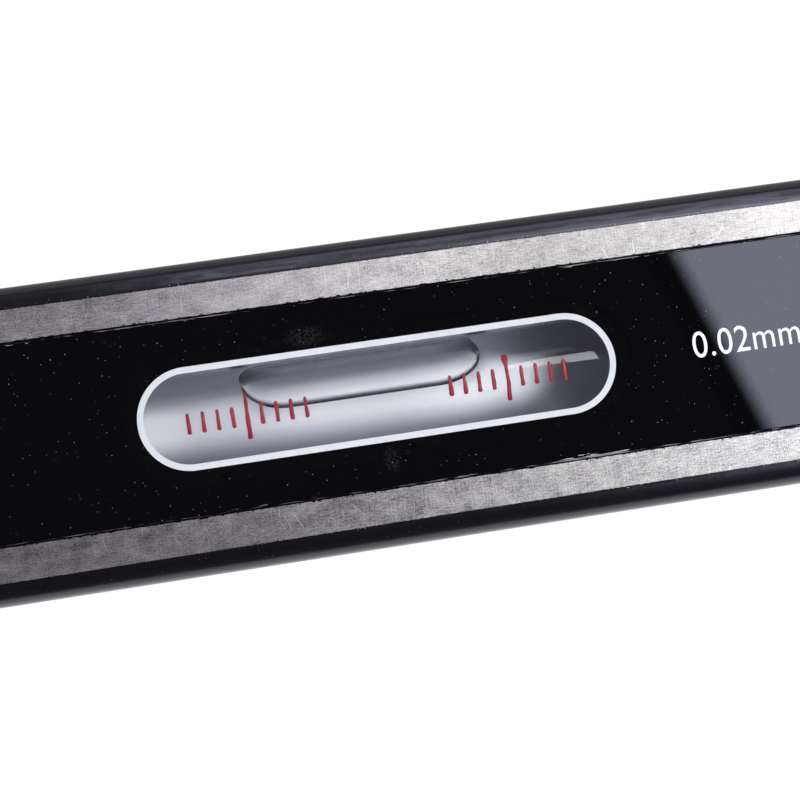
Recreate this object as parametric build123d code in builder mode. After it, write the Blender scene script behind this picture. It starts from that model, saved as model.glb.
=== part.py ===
from build123d import *
import math
import os

# A bar machinist's level: a cast iron bar with a ground vee base, a printed clear cover let into
# its top between two ground rails, and under the cover a main vial in a tube that tilts on a pin.
# X runs along the bar, Y across it and Z up. The origin is the middle of the ground base.
# All sizes are in millimetres and all angles in degrees.

# Clearances
slip_gap = 0.15          # between a piece and the pocket that it drops into
turn_gap = 0.05          # round a pin or shaft that turns
thread_gap = 0.1         # round a screw thread, which is drawn as a plain shank

# Cast iron body
body_length = 200.0
body_width = 42.0
body_height = 44.0
shoulder_radius = 3.2    # painted round along both long top edges
end_land = 8.0           # ground flat at each end of the cover
ledge_width = 3.3        # seat of the cover on each side of the pocket below it
edge_chamfer = 0.6
slot_corner = 3.0
vee_width = 22.0
vee_angle = 120.0
vee_relief_width = 3.0
vee_relief_depth = 1.5
base_relief_length = 80.0
base_relief_depth = 0.8

# Cover stack, from the top down
plate_recess = 0.2       # the cover lies this far below the rails
plate_thickness = 2.0
mask_thickness = 0.2
gasket_thickness = 0.4
plate_chamfer = 0.25
window_span = 51.4       # between the centres of the main window's round ends
window_radius = 6.1
cross_window_span = 8.4
cross_window_radius = 3.4

# Main vial: a ground glass tube, sealed at both ends and nearly full of spirit
vial_radius = 7.0
vial_bore_radius = 5.6
vial_length = 78.0
vial_headroom = 2.6      # from the printed mask down to the top of the glass
seal_thickness = 3.0
mark_spacing = 2.0
mark_count = 4           # short marks on each side of a long one
long_mark_place = 18.0   # from the middle of the vial to each long mark
long_mark_length = 6.2
short_mark_length = 2.7
mark_width = 0.55
mark_depth = 0.15
mark_roll = -3.7         # the marks lie a little off the top of the vial
bubble_length = 33.0
bubble_width = 8.2
bubble_sag = 1.0         # how far the bubble's underside bulges down
bubble_shift = 2.0       # the bubble stands this far left of the middle
bubble_roll = 48.0       # and this far round the bore, toward the back
bubble_gap = 0.1

# Tube that carries the main vial
tube_gap = 0.5           # between the vial and the tube, taken up by the pads and the liner
tube_wall = 1.2
tube_overhang = 3.0      # past each end of the vial
tube_slot_width = 14.0
tube_slot_length = 68.0
liner_thickness = 0.3
liner_rise = 2.0         # the liner's edges stand this far above the vial's axis
pad_length = 4.0
plug_flange = 1.5
plug_end_gap = 0.2

# Pivot at the left end of the tube
lug_width = 8.0
lug_reach = 5.5          # from the plug's flange to the pivot pin
lug_radius = 4.0
pin_radius = 2.0
ear_gap = 0.2
ear_thickness = 3.0
pivot_base_length = 14.0
pivot_base_thickness = 3.0
pivot_screw_place = 5.2
pin_overhang = 0.3

# Zero adjuster at the right end of the tube
adjuster_inset = 20.0    # from the end of the cover slot to the adjusting screw
tongue_width = 10.0
tongue_thickness = 5.0
tongue_drop = 3.0        # the tongue's middle lies this far below the vial's axis
nut_radius = 3.0
nut_flange_radius = 4.5
nut_flange = 1.0
screw_radius = 2.0
wheel_radius = 8.0
wheel_thickness = 2.5
wheel_gap = 0.8          # between the tongue and the wheel above it
wheel_notch_radius = 0.5
wheel_notch_count = 24
screw_slot_width = 0.8
screw_slot_depth = 1.2
journal_radius = 1.5
journal_length = 5.0
collar_radius = 4.0
collar_thickness = 1.5
bush_radius = 4.0
bush_depth = 6.0
keeper_length = 22.0
keeper_width = 14.0
keeper_thickness = 3.2
keeper_screw_place = 8.0
spring_wire = 0.7
spring_radius = 3.6      # to the middle of the wire
spring_turns = 3.0
cap_radius = 4.5
cap_ring_wall = 1.5
cap_drop = 0.2           # the cap reaches this far below its ring
cap_slot_width = 1.0
cap_slot_depth = 0.9

# Pocket for the tube
tube_side_gap = 1.3
tube_floor_gap = 6.0
pivot_end_room = 7.5     # from the pivot to the pocket's left end
adjuster_end_room = 12.5 # from the adjusting screw to its right end
cavity_corner = 4.0

# Cross vial
cross_inset = 16.5       # from the end of the cover slot to the cross vial
cross_radius = 4.0
cross_bore_radius = 3.0
cross_length = 20.0
cross_headroom = 1.4
cross_seal_thickness = 2.0
cross_block_length = 16.6
cross_block_width = 21.0
cross_block_height = 11.0
cross_pocket_corner = 2.0
cross_screw_place = 6.1
cross_mark_place = 4.2
cross_mark_length = 4.0
cross_mark_width = 0.5
cross_bubble_length = 7.6
cross_bubble_width = 4.0
cross_bubble_sag = 0.6

# Side grips
grip_length = 120.0
grip_height = 20.0
grip_corner = 4.0
grip_pocket_depth = 2.4
grip_recess = 0.2        # the grip lies this far inside the body's side
grip_height_centre = 22.0
grip_groove_count = 5
grip_groove_spacing = 2.8
grip_groove_width = 1.2
grip_groove_depth = 0.6
grip_groove_margin = 8.0
grip_screw_place = 54.0

# Countersunk screws, each as (thread radius, head radius, length under the head's top)
cover_screw = (1.25, 2.5, 8.0)
cover_screw_inset = 4.6
cover_screw_spread = 8.5
small_screw = (1.0, 1.9, 9.0)
cross_screw = (1.0, 1.9, 15.5)
grip_screw = (1.25, 2.5, 7.0)
screw_slot = 0.7

# Levels and places that follow from the sizes above
vee_depth = (vee_width - vee_relief_width) / 2 / math.tan(math.radians(vee_angle / 2))
relief_top = vee_depth + vee_relief_depth
plate_top = body_height - plate_recess
plate_bottom = plate_top - plate_thickness
mask_bottom = plate_bottom - mask_thickness
slot_floor = mask_bottom - gasket_thickness
slot_length = body_length - 2 * end_land
plate_length = slot_length - 2 * slip_gap
plate_corner = slot_corner - slip_gap

vial_axis = mask_bottom - vial_headroom - vial_radius
vial_end = vial_length / 2
spirit_end = vial_end - seal_thickness
track_width = bubble_width + 2 * bubble_gap
tube_bore = vial_radius + tube_gap
tube_radius = tube_bore + tube_wall
tube_end = vial_end + tube_overhang
plug_face = tube_end + plug_flange
pivot_x = -(plug_face + lug_reach)
adjuster_x = slot_length / 2 - adjuster_inset
cavity_floor = vial_axis - tube_radius - tube_floor_gap
cavity_width = 2 * (tube_radius + tube_side_gap)
slot_width = cavity_width + 2 * ledge_width
plate_width = slot_width - 2 * slip_gap
cavity_left = pivot_x - pivot_end_room
cavity_right = adjuster_x + adjuster_end_room
cavity_length = cavity_right - cavity_left
cavity_x = (cavity_left + cavity_right) / 2

pivot_top = cavity_floor + pivot_base_thickness
ear_inside = lug_width / 2 + ear_gap
ear_outside = ear_inside + ear_thickness
tongue_reach = adjuster_x - tube_end - plug_flange / 2
tongue_middle = vial_axis - tongue_drop
tongue_bottom = tongue_middle - tongue_thickness / 2
tongue_top = tongue_middle + tongue_thickness / 2
wheel_bottom = tongue_top + wheel_gap
screw_top = wheel_bottom + wheel_thickness
keeper_top = cavity_floor + keeper_thickness
spring_bottom = keeper_top + spring_wire / 2
spring_top = tongue_bottom - nut_flange - spring_wire / 2
spring_rise = spring_top - spring_bottom
spring_pitch = spring_rise / spring_turns
cap_ring_radius = cap_radius + turn_gap + cap_ring_wall

cross_x = -(slot_length / 2 - cross_inset)
cross_axis = mask_bottom - cross_headroom - cross_radius
cross_end = cross_length / 2
cross_spirit_end = cross_end - cross_seal_thickness
cross_track_width = cross_bubble_width + 2 * bubble_gap
cross_block_top = cross_axis + cross_radius / 2
cross_floor = cross_block_top - cross_block_height
cross_pocket = (cross_block_length + 2 * slip_gap, cross_block_width + 2 * slip_gap)

grip_pocket_length = grip_length + 2 * slip_gap
grip_pocket_height = grip_height + 2 * slip_gap
grip_thickness = grip_pocket_depth - grip_recess
grip_pocket_floor = body_width / 2 - grip_pocket_depth
grip_face = body_width / 2 - grip_recess

cover_screw_x = slot_length / 2 - cover_screw_inset
cover_screw_places = [
    (x, y) for x in (-cover_screw_x, cover_screw_x) for y in (-cover_screw_spread, cover_screw_spread)
]
pivot_screw_places = [(pivot_x - pivot_screw_place, 0), (pivot_x + pivot_screw_place, 0)]
keeper_screw_places = [(adjuster_x - keeper_screw_place, 0), (adjuster_x + keeper_screw_place, 0)]
grip_screw_places = [(-grip_screw_place, 0), (grip_screw_place, 0)]
cross_screw_places = [(cross_x - cross_screw_place, 0), (cross_x + cross_screw_place, 0)]

vial_section = Plane(origin=(0, 0, vial_axis), x_dir=(0, 1, 0), z_dir=(1, 0, 0))
cross_section = Plane(origin=(cross_x, 0, cross_axis), x_dir=(-1, 0, 0), z_dir=(0, 1, 0))


def rolled(plane, angle):
    """The plane turned about its own normal, so that its Y leans to its X side."""
    lean = math.radians(angle)
    turned = plane.x_dir * math.cos(lean) - plane.y_dir * math.sin(lean)
    return Plane(origin=plane.origin, x_dir=turned, z_dir=plane.z_dir)


def crown(plane, lift):
    """A plane that looks straight out of a vial's top: its X runs along the vial."""
    up = plane.y_dir
    return Plane(origin=plane.origin + up * lift, x_dir=plane.z_dir, z_dir=up)


def side_plane(side, y):
    """A plane on one side of the bar, facing outwards, with its X along the bar."""
    return Plane(origin=(0, side * y, grip_height_centre), x_dir=(side * -1, 0, 0), z_dir=(0, side, 0))


def countersunk_screws(places, sizes):
    """Slotted countersunk screws, with the middle of each head's top at one of the places."""
    thread_radius, head_radius, length = sizes
    to_top = (Align.CENTER, Align.CENTER, Align.MAX)
    with BuildPart() as screws:
        with Locations(*places):
            Cone(thread_radius, head_radius, head_radius - thread_radius, align=to_top)
            Cylinder(thread_radius, length, align=to_top)
            Box(2 * head_radius, screw_slot, screw_slot, align=to_top, mode=Mode.SUBTRACT)
    return screws


def screw_seats(places, sizes, depth):
    """Countersunk clearance holes for such screws, cut into the part being built."""
    thread_radius, head_radius, _ = sizes
    with Locations(*places):
        CounterSinkHole(thread_radius + thread_gap, head_radius + turn_gap, depth, counter_sink_angle=90)


def screw_threads(places, sizes, depth_in_body):
    """Tapped holes for such screws, cut into the part being built."""
    with Locations(*places):
        Cylinder(
            sizes[0] + turn_gap,
            depth_in_body,
            align=(Align.CENTER, Align.CENTER, Align.MAX),
            mode=Mode.SUBTRACT,
        )


def at_level(places, z):
    """Flat places lifted to one level."""
    return [(x, y, z) for x, y in places]


def vial_bubble_profile(radius, width, sag):
    """A bubble's cross-section: the bore's arc above, and a sagging underside."""
    rim = math.sqrt(radius**2 - (width / 2) ** 2)
    with BuildLine() as outline:
        ThreePointArc((-width / 2, rim), (0, radius), (width / 2, rim))
        ThreePointArc((width / 2, rim), (0, rim - sag), (-width / 2, rim))
    make_face(outline.line)


# Cast iron body: the bar with its vee, its two side pockets and the pockets under the cover
with BuildPart() as body:
    Box(body_length, body_width, body_height, align=(Align.CENTER, Align.CENTER, Align.MIN))
    fillet(body.edges().filter_by(Axis.X).group_by(Axis.Z)[-1], shoulder_radius)
    ends = body.faces().filter_by(Axis.X)
    chamfer(ends.edges(), edge_chamfer)

    with BuildSketch(Plane.YZ):
        with BuildLine():
            Polyline(
                (-vee_width / 2, 0),
                (-vee_relief_width / 2, vee_depth),
                (-vee_relief_width / 2, relief_top),
                (vee_relief_width / 2, relief_top),
                (vee_relief_width / 2, vee_depth),
                (vee_width / 2, 0),
                close=True,
            )
        make_face()
    extrude(amount=body_length / 2, both=True, mode=Mode.SUBTRACT)
    Box(
        base_relief_length,
        body_width,
        base_relief_depth,
        align=(Align.CENTER, Align.CENTER, Align.MIN),
        mode=Mode.SUBTRACT,
    )

    for side in (-1, 1):
        with BuildSketch(side_plane(side, body_width / 2)):
            RectangleRounded(grip_pocket_length, grip_pocket_height, grip_corner + slip_gap)
        extrude(amount=-grip_pocket_depth, mode=Mode.SUBTRACT)
        with Locations(side_plane(side, grip_face)):
            screw_threads(grip_screw_places, grip_screw, grip_screw[2] + slip_gap)

    with BuildSketch(Plane.XY.offset(body_height)):
        RectangleRounded(slot_length, slot_width, slot_corner)
    extrude(amount=slot_floor - body_height, mode=Mode.SUBTRACT)
    with BuildSketch(Plane.XY.offset(slot_floor)):
        with Locations((cavity_x, 0)):
            RectangleRounded(cavity_length, cavity_width, cavity_corner)
    extrude(amount=cavity_floor - slot_floor, mode=Mode.SUBTRACT)
    with BuildSketch(Plane.XY.offset(slot_floor)):
        with Locations((cross_x, 0)):
            RectangleRounded(*cross_pocket, cross_pocket_corner)
    extrude(amount=cross_floor - slot_floor, mode=Mode.SUBTRACT)

    screw_threads(at_level(cover_screw_places, plate_top), cover_screw, cover_screw[2] + slip_gap)
    screw_threads(at_level(pivot_screw_places, pivot_top), small_screw, small_screw[2] + slip_gap)
    screw_threads(at_level(keeper_screw_places, keeper_top), small_screw, small_screw[2] + slip_gap)
    screw_threads(at_level(cross_screw_places, cross_block_top), cross_screw, cross_screw[2] + slip_gap)
    with Locations((adjuster_x, 0, cavity_floor)):
        Cylinder(
            bush_radius,
            bush_depth,
            align=(Align.CENTER, Align.CENTER, Align.MAX),
            mode=Mode.SUBTRACT,
        )

# Cover gasket: a soft frame on the floor of the cover slot
with BuildPart() as cover_gasket:
    with BuildSketch(Plane.XY.offset(slot_floor)):
        RectangleRounded(plate_length, plate_width, plate_corner)
        with Locations((cavity_x, 0)):
            RectangleRounded(cavity_length, cavity_width, cavity_corner, mode=Mode.SUBTRACT)
        with Locations((cross_x, 0)):
            RectangleRounded(*cross_pocket, cross_pocket_corner, mode=Mode.SUBTRACT)
        with Locations(*cover_screw_places):
            Circle(cover_screw[0] + thread_gap, mode=Mode.SUBTRACT)
    extrude(amount=gasket_thickness)

# Printed mask: a black film under the cover, cut out at both windows and at the adjuster's cap
with BuildPart() as printed_mask:
    with BuildSketch(Plane.XY.offset(mask_bottom)):
        RectangleRounded(plate_length, plate_width, plate_corner)
        SlotCenterToCenter(window_span, 2 * window_radius, mode=Mode.SUBTRACT)
        with Locations((cross_x, 0)):
            SlotCenterToCenter(
                cross_window_span, 2 * cross_window_radius, rotation=90, mode=Mode.SUBTRACT
            )
        with Locations((adjuster_x, 0)):
            Circle(cap_ring_radius, mode=Mode.SUBTRACT)
        with Locations(*cover_screw_places):
            Circle(cover_screw[0] + thread_gap, mode=Mode.SUBTRACT)
    extrude(amount=mask_thickness)

# Cover plate: clear acrylic, let in just below the rails
with BuildPart() as cover_plate:
    with BuildSketch(Plane.XY.offset(plate_bottom)):
        RectangleRounded(plate_length, plate_width, plate_corner)
        with Locations((adjuster_x, 0)):
            Circle(cap_ring_radius, mode=Mode.SUBTRACT)
    extrude(amount=plate_thickness)
    top_face = cover_plate.faces().sort_by(Axis.Z)[-1]
    chamfer(top_face.outer_wire().edges(), plate_chamfer)
    screw_seats(at_level(cover_screw_places, plate_top), cover_screw, plate_thickness)

cover_screws = countersunk_screws(at_level(cover_screw_places, plate_top), cover_screw)

# Cap over the zero adjuster: a slotted plug in a ring that is bonded into the cover
with BuildPart() as cap_ring:
    with BuildSketch(Plane.XY.offset(mask_bottom)):
        with Locations((adjuster_x, 0)):
            Circle(cap_ring_radius)
            Circle(cap_radius + turn_gap, mode=Mode.SUBTRACT)
    extrude(amount=plate_top - mask_bottom)

with BuildPart() as adjuster_cap:
    with BuildSketch(Plane.XY.offset(mask_bottom - cap_drop)):
        with Locations((adjuster_x, 0)):
            Circle(cap_radius)
    extrude(amount=plate_top - mask_bottom + cap_drop)
    with Locations((adjuster_x, 0, plate_top)):
        Box(
            2 * cap_radius,
            cap_slot_width,
            cap_slot_depth,
            align=(Align.CENTER, Align.CENTER, Align.MAX),
            mode=Mode.SUBTRACT,
        )

# Pivot block: two ears on a foot that is screwed to the pocket's floor
with BuildPart() as pivot_block:
    with BuildSketch(Plane.XY.offset(cavity_floor)):
        with Locations((pivot_x, 0)):
            Rectangle(pivot_base_length, 2 * ear_outside)
    extrude(amount=pivot_base_thickness)
    with BuildSketch(Plane.XZ.offset(-ear_outside)):
        with Locations((pivot_x, vial_axis)):
            Circle(lug_radius)
            Rectangle(2 * lug_radius, vial_axis - cavity_floor, align=(Align.CENTER, Align.MAX))
    extrude(amount=2 * ear_outside)
    with Locations((pivot_x, 0, pivot_top)):
        Box(
            2 * lug_radius + pivot_base_length,
            2 * ear_inside,
            body_height,
            align=(Align.CENTER, Align.CENTER, Align.MIN),
            mode=Mode.SUBTRACT,
        )
    with Locations((pivot_x, 0, vial_axis)):
        Cylinder(pin_radius, 3 * ear_outside, rotation=(90, 0, 0), mode=Mode.SUBTRACT)
    screw_seats(at_level(pivot_screw_places, pivot_top), small_screw, pivot_base_thickness)

pivot_screws = countersunk_screws(at_level(pivot_screw_places, pivot_top), small_screw)

with BuildPart() as pivot_pin:
    with Locations((pivot_x, 0, vial_axis)):
        Cylinder(pin_radius, 2 * (ear_outside + pin_overhang), rotation=(90, 0, 0))
    chamfer(pivot_pin.edges().filter_by(GeomType.CIRCLE), pin_overhang / 2)

# Tube that carries the main vial, open along its top
with BuildPart() as vial_tube:
    with BuildSketch(vial_section):
        Circle(tube_radius)
        Circle(tube_bore, mode=Mode.SUBTRACT)
    extrude(amount=tube_end, both=True)
    with BuildSketch(Plane.XY.offset(vial_axis)):
        SlotOverall(tube_slot_length, tube_slot_width)
    extrude(amount=2 * tube_radius, mode=Mode.SUBTRACT)

# White liner in the bottom of the tube, which throws light up through the vial
with BuildPart() as vial_liner:
    with BuildSketch(vial_section):
        Circle(tube_bore)
        Circle(tube_bore - liner_thickness, mode=Mode.SUBTRACT)
        with Locations((0, liner_rise)):
            Rectangle(3 * tube_bore, 3 * tube_bore, align=(Align.CENTER, Align.MIN), mode=Mode.SUBTRACT)
    extrude(amount=vial_end - pad_length - slip_gap, both=True)

# Rubber pads that hold the vial at both ends of the tube
with BuildPart() as vial_pads:
    for side in (-1, 1):
        with BuildSketch(vial_section.offset(side * vial_end)):
            Circle(tube_bore)
            Circle(vial_radius, mode=Mode.SUBTRACT)
        extrude(amount=-side * pad_length)

# Left plug: a stopper in the tube's end with a lug on the pivot pin
with BuildPart() as left_end_plug:
    with BuildSketch(vial_section.offset(-vial_end - plug_end_gap)):
        Circle(tube_bore)
    extrude(amount=-(tube_overhang - plug_end_gap))
    with BuildSketch(vial_section.offset(-tube_end)):
        Circle(tube_radius)
    extrude(amount=-plug_flange)
    with BuildSketch(Plane.XZ.offset(-lug_width / 2)):
        with Locations((pivot_x, vial_axis)):
            Circle(lug_radius)
            Rectangle(lug_reach + plug_flange / 2, 2 * lug_radius, align=(Align.MIN, Align.CENTER))
    extrude(amount=lug_width)
    with Locations((pivot_x, 0, vial_axis)):
        Cylinder(pin_radius + turn_gap, 2 * lug_width, rotation=(90, 0, 0), mode=Mode.SUBTRACT)

# Right plug: a stopper with a long tongue to the adjusting screw
with BuildPart() as right_end_plug:
    with BuildSketch(vial_section.offset(vial_end + plug_end_gap)):
        Circle(tube_bore)
    extrude(amount=tube_overhang - plug_end_gap)
    with BuildSketch(vial_section.offset(tube_end)):
        Circle(tube_radius)
    extrude(amount=plug_flange)
    with BuildSketch(Plane.XY.offset(tongue_bottom)):
        with Locations((adjuster_x, 0)):
            Circle(tongue_width / 2)
            Rectangle(tongue_reach, tongue_width, align=(Align.MAX, Align.CENTER))
            Circle(nut_radius, mode=Mode.SUBTRACT)
    extrude(amount=tongue_thickness)

# Lift nut: pressed into the tongue from below, with the spring's seat on its flange
with BuildPart() as lift_nut:
    with BuildSketch(Plane.XY.offset(tongue_bottom - nut_flange)):
        with Locations((adjuster_x, 0)):
            Circle(nut_flange_radius)
    extrude(amount=nut_flange)
    with BuildSketch(Plane.XY.offset(tongue_bottom)):
        with Locations((adjuster_x, 0)):
            Circle(nut_radius)
    extrude(amount=tongue_thickness)
    with Locations((adjuster_x, 0, tongue_middle)):
        Cylinder(screw_radius + thread_gap, 3 * tongue_thickness, mode=Mode.SUBTRACT)

# Adjusting screw: held down by its collar, so that turning it lifts or lowers the nut
with BuildPart() as adjusting_screw:
    with BuildSketch(Plane.XY.offset(cavity_floor - journal_length)):
        with Locations((adjuster_x, 0)):
            Circle(journal_radius)
    extrude(amount=journal_length + turn_gap)
    with BuildSketch(Plane.XY.offset(cavity_floor + turn_gap)):
        with Locations((adjuster_x, 0)):
            Circle(collar_radius)
    extrude(amount=collar_thickness)
    with BuildSketch(Plane.XY.offset(cavity_floor + turn_gap)):
        with Locations((adjuster_x, 0)):
            Circle(screw_radius)
    extrude(amount=screw_top - cavity_floor - turn_gap)
    with Locations((adjuster_x, 0, screw_top)):
        Box(
            2 * screw_radius,
            screw_slot_width,
            screw_slot_depth,
            align=(Align.CENTER, Align.CENTER, Align.MAX),
            mode=Mode.SUBTRACT,
        )

# Adjusting wheel: a notched brass disc pressed on the top of the screw
with BuildPart() as adjuster_wheel:
    with BuildSketch(Plane.XY.offset(wheel_bottom)):
        with Locations((adjuster_x, 0)):
            Circle(wheel_radius)
            Circle(screw_radius, mode=Mode.SUBTRACT)
            with PolarLocations(wheel_radius, wheel_notch_count):
                Circle(wheel_notch_radius, mode=Mode.SUBTRACT)
    extrude(amount=wheel_thickness)

with BuildPart() as adjuster_bush:
    with BuildSketch(Plane.XY.offset(cavity_floor)):
        with Locations((adjuster_x, 0)):
            Circle(bush_radius)
            Circle(journal_radius + turn_gap, mode=Mode.SUBTRACT)
    extrude(amount=-bush_depth)

# Keeper: a plate over the screw's collar
with BuildPart() as adjuster_keeper:
    with BuildSketch(Plane.XY.offset(cavity_floor)):
        with Locations((adjuster_x, 0)):
            Rectangle(keeper_length, keeper_width)
            Circle(screw_radius + slip_gap, mode=Mode.SUBTRACT)
    extrude(amount=keeper_thickness)
    with BuildSketch(Plane.XY.offset(cavity_floor)):
        with Locations((adjuster_x, 0)):
            Circle(collar_radius + slip_gap)
    extrude(amount=collar_thickness + turn_gap + slip_gap, mode=Mode.SUBTRACT)
    screw_seats(at_level(keeper_screw_places, keeper_top), small_screw, keeper_thickness)

keeper_screws = countersunk_screws(at_level(keeper_screw_places, keeper_top), small_screw)

# Lift spring: a coil round the adjusting screw, from the keeper to the nut
with BuildPart() as lift_spring:
    with BuildLine() as coil:
        Helix(spring_pitch, spring_rise, spring_radius, center=(adjuster_x, 0, spring_bottom))
    with BuildSketch(Plane(origin=coil.line @ 0, z_dir=coil.line % 0)):
        Circle(spring_wire / 2)
    sweep(is_frenet=True)
print("spring gap between turns", round(spring_pitch - spring_wire, 3))

# Main vial's graduations: paint in lines cut into the top of the glass
mark_offsets = [mark_spacing * k for k in range(-mark_count, mark_count + 1)]
with BuildPart() as main_graduations:
    with BuildSketch(crown(rolled(vial_section, mark_roll), 0)):
        for middle in (-long_mark_place, long_mark_place):
            for offset_x in mark_offsets:
                length = short_mark_length if offset_x else long_mark_length
                with Locations((middle + offset_x, 0)):
                    SlotOverall(length, mark_width, rotation=90)
    extrude(amount=2 * vial_radius)
    with BuildSketch(vial_section.offset(-vial_end)):
        Circle(vial_radius)
        Circle(vial_radius - mark_depth, mode=Mode.SUBTRACT)
    extrude(amount=vial_length, mode=Mode.INTERSECT)

with BuildPart() as main_vial:
    with BuildSketch(vial_section):
        Circle(vial_radius)
        Circle(vial_bore_radius, mode=Mode.SUBTRACT)
    extrude(amount=vial_end, both=True)
    add(main_graduations.part, mode=Mode.SUBTRACT)

with BuildPart() as main_vial_seals:
    for side in (-1, 1):
        with BuildSketch(vial_section.offset(side * vial_end)):
            Circle(vial_bore_radius)
        extrude(amount=-side * seal_thickness)

# Spirit: it fills the bore below the track that the bubble runs in
with BuildPart() as main_spirit:
    with BuildSketch(vial_section):
        Circle(vial_bore_radius)
    extrude(amount=spirit_end, both=True)
    with BuildSketch(rolled(vial_section, bubble_roll)):
        vial_bubble_profile(vial_bore_radius, track_width, bubble_sag + bubble_gap)
    extrude(amount=spirit_end, both=True, mode=Mode.SUBTRACT)

with BuildPart() as main_bubble:
    with BuildSketch(rolled(vial_section, bubble_roll).offset(-bubble_shift)):
        vial_bubble_profile(vial_bore_radius - bubble_gap, bubble_width, bubble_sag)
    extrude(amount=bubble_length / 2, both=True)
    with BuildSketch(crown(rolled(vial_section, bubble_roll), 0)):
        with Locations((-bubble_shift, 0)):
            SlotOverall(bubble_length, bubble_width)
    extrude(amount=2 * vial_radius, mode=Mode.INTERSECT)

# Cross vial, bedded in a block that is screwed down under its own window
with BuildPart() as cross_block:
    with BuildSketch(Plane.XY.offset(cross_floor)):
        with Locations((cross_x, 0)):
            RectangleRounded(cross_block_length, cross_block_width, cross_pocket_corner - slip_gap)
    extrude(amount=cross_block_height)
    with BuildSketch(cross_section):
        Circle(cross_radius)
        Rectangle(2 * cross_radius, 2 * cross_radius, align=(Align.CENTER, Align.MIN))
    extrude(amount=cross_end + slip_gap, both=True, mode=Mode.SUBTRACT)
    screw_seats(at_level(cross_screw_places, cross_block_top), cross_screw, cross_block_height)

cross_block_screws = countersunk_screws(at_level(cross_screw_places, cross_block_top), cross_screw)

with BuildPart() as cross_graduations:
    with BuildSketch(crown(cross_section, 0)):
        with Locations((-cross_mark_place, 0), (cross_mark_place, 0)):
            SlotOverall(cross_mark_length, cross_mark_width, rotation=90)
    extrude(amount=2 * cross_radius)
    with BuildSketch(cross_section.offset(-cross_end)):
        Circle(cross_radius)
        Circle(cross_radius - mark_depth, mode=Mode.SUBTRACT)
    extrude(amount=cross_length, mode=Mode.INTERSECT)

with BuildPart() as cross_vial:
    with BuildSketch(cross_section):
        Circle(cross_radius)
        Circle(cross_bore_radius, mode=Mode.SUBTRACT)
    extrude(amount=cross_end, both=True)
    add(cross_graduations.part, mode=Mode.SUBTRACT)

with BuildPart() as cross_vial_seals:
    for side in (-1, 1):
        with BuildSketch(cross_section.offset(side * cross_end)):
            Circle(cross_bore_radius)
        extrude(amount=-side * cross_seal_thickness)

with BuildPart() as cross_spirit:
    with BuildSketch(cross_section):
        Circle(cross_bore_radius)
    extrude(amount=cross_spirit_end, both=True)
    with BuildSketch(cross_section):
        vial_bubble_profile(cross_bore_radius, cross_track_width, cross_bubble_sag + bubble_gap)
    extrude(amount=cross_spirit_end, both=True, mode=Mode.SUBTRACT)

with BuildPart() as cross_bubble:
    with BuildSketch(cross_section):
        vial_bubble_profile(cross_bore_radius - bubble_gap, cross_bubble_width, cross_bubble_sag)
    extrude(amount=cross_bubble_length / 2, both=True)
    with BuildSketch(crown(cross_section, 0)):
        SlotOverall(cross_bubble_length, cross_bubble_width)
    extrude(amount=2 * cross_radius, mode=Mode.INTERSECT)


def side_grip(side):
    """A heat insulating plate with finger grooves, sunk in one side of the bar."""
    with BuildPart() as grip:
        with BuildSketch(side_plane(side, grip_pocket_floor)):
            RectangleRounded(grip_length, grip_height, grip_corner)
        extrude(amount=grip_thickness)
        with BuildSketch(side_plane(side, grip_face)):
            with GridLocations(0, grip_groove_spacing, 1, grip_groove_count):
                SlotOverall(2 * (grip_screw_place - grip_groove_margin), grip_groove_width)
        extrude(amount=-grip_groove_depth, mode=Mode.SUBTRACT)
        with Locations(side_plane(side, grip_face)):
            screw_seats(grip_screw_places, grip_screw, grip_thickness)
    return grip


front_grip = side_grip(-1)
rear_grip = side_grip(1)

grip_screw_locations = [
    side_plane(side, grip_face).location * Location((x, 0, 0))
    for side in (-1, 1)
    for x, _ in grip_screw_places
]
grip_screws = countersunk_screws(grip_screw_locations, grip_screw)

pieces = {
    "body": body,
    "cover_gasket": cover_gasket,
    "printed_mask": printed_mask,
    "cover_plate": cover_plate,
    "cover_screws": cover_screws,
    "cap_ring": cap_ring,
    "adjuster_cap": adjuster_cap,
    "pivot_block": pivot_block,
    "pivot_screws": pivot_screws,
    "pivot_pin": pivot_pin,
    "vial_tube": vial_tube,
    "vial_liner": vial_liner,
    "vial_pads": vial_pads,
    "left_end_plug": left_end_plug,
    "right_end_plug": right_end_plug,
    "lift_nut": lift_nut,
    "adjusting_screw": adjusting_screw,
    "adjuster_wheel": adjuster_wheel,
    "adjuster_bush": adjuster_bush,
    "adjuster_keeper": adjuster_keeper,
    "keeper_screws": keeper_screws,
    "lift_spring": lift_spring,
    "main_graduations": main_graduations,
    "main_vial": main_vial,
    "main_vial_seals": main_vial_seals,
    "main_spirit": main_spirit,
    "main_bubble": main_bubble,
    "cross_block": cross_block,
    "cross_block_screws": cross_block_screws,
    "cross_graduations": cross_graduations,
    "cross_vial": cross_vial,
    "cross_vial_seals": cross_vial_seals,
    "cross_spirit": cross_spirit,
    "cross_bubble": cross_bubble,
    "front_grip": front_grip,
    "rear_grip": rear_grip,
    "grip_screws": grip_screws,
}
os.makedirs("parts", exist_ok=True)
for name, piece in pieces.items():
    piece.part.label = name
    export_step(piece.part, f"parts/{name}.step")
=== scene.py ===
import math

import bmesh
import bpy
from mathutils import Matrix, Vector


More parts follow.
